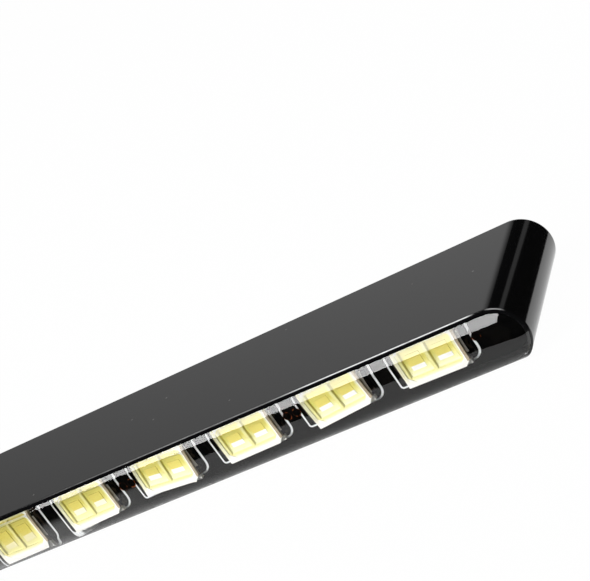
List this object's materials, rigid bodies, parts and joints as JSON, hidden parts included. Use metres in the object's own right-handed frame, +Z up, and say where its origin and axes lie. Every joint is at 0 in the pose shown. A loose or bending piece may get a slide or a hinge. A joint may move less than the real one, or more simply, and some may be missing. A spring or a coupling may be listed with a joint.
{
  "type": "daytime running light",
  "caption": "Slim bar-shaped daytime running light: white two-chip LEDs in a row on a narrow board, potted under a clear front in a deep glossy black housing with round ends.",
  "frame": {"origin": "centre of the bounding box in X and Y, at the flat lower side the light lies on", "axes": "+X along the row of LEDs, -Y the way the light leaves, +Z up"},
  "size_m": [0.1, 0.0134, 0.0046],
  "materials": {
    "housing_black": "glossy black moulding",
    "board_black": "black solder mask",
    "clear_potting": "clear cast resin",
    "led_white": "white LED moulding",
    "chip_pale": "coated chip",
    "phosphor_yellow": "yellow phosphor",
    "lead_tin": "tinned lead with solder",
    "resistor_ceramic": "coated chip resistor",
    "diode_moulding": "black moulding",
    "inlet_rubber": "black rubber"
  },
  "bodies": {
    "root": {"housing": "housing_black", "pcb": "board_black", "lens": "clear_potting", "cable_grommet": "inlet_rubber", "resistors": "resistor_ceramic", "diode": "diode_moulding", "led_body_01": "led_white", "led_chips_01": "chip_pale", "led_phosphor_01": "phosphor_yellow", "led_leads_01": "lead_tin", "led_body_02": "led_white", "led_chips_02": "chip_pale", "led_phosphor_02": "phosphor_yellow", "led_leads_02": "lead_tin", "led_body_03": "led_white", "led_chips_03": "chip_pale", "led_phosphor_03": "phosphor_yellow", "led_leads_03": "lead_tin", "led_body_04": "led_white", "led_chips_04": "chip_pale", "led_phosphor_04": "phosphor_yellow", "led_leads_04": "lead_tin", "led_body_05": "led_white", "led_chips_05": "chip_pale", "led_phosphor_05": "phosphor_yellow", "led_leads_05": "lead_tin", "led_body_06": "led_white", "led_chips_06": "chip_pale", "led_phosphor_06": "phosphor_yellow", "led_leads_06": "lead_tin", "led_body_07": "led_white", "led_chips_07": "chip_pale", "led_phosphor_07": "phosphor_yellow", "led_leads_07": "lead_tin", "led_body_08": "led_white", "led_chips_08": "chip_pale", "led_phosphor_08": "phosphor_yellow", "led_leads_08": "lead_tin", "led_body_09": "led_white", "led_chips_09": "chip_pale", "led_phosphor_09": "phosphor_yellow", "led_leads_09": "lead_tin", "led_body_10": "led_white", "led_chips_10": "chip_pale", "led_phosphor_10": "phosphor_yellow", "led_leads_10": "lead_tin", "led_body_11": "led_white", "led_chips_11": "chip_pale", "led_phosphor_11": "phosphor_yellow", "led_leads_11": "lead_tin", "led_body_12": "led_white", "led_chips_12": "chip_pale", "led_phosphor_12": "phosphor_yellow", "led_leads_12": "lead_tin"}
  },
  "joints": []
}
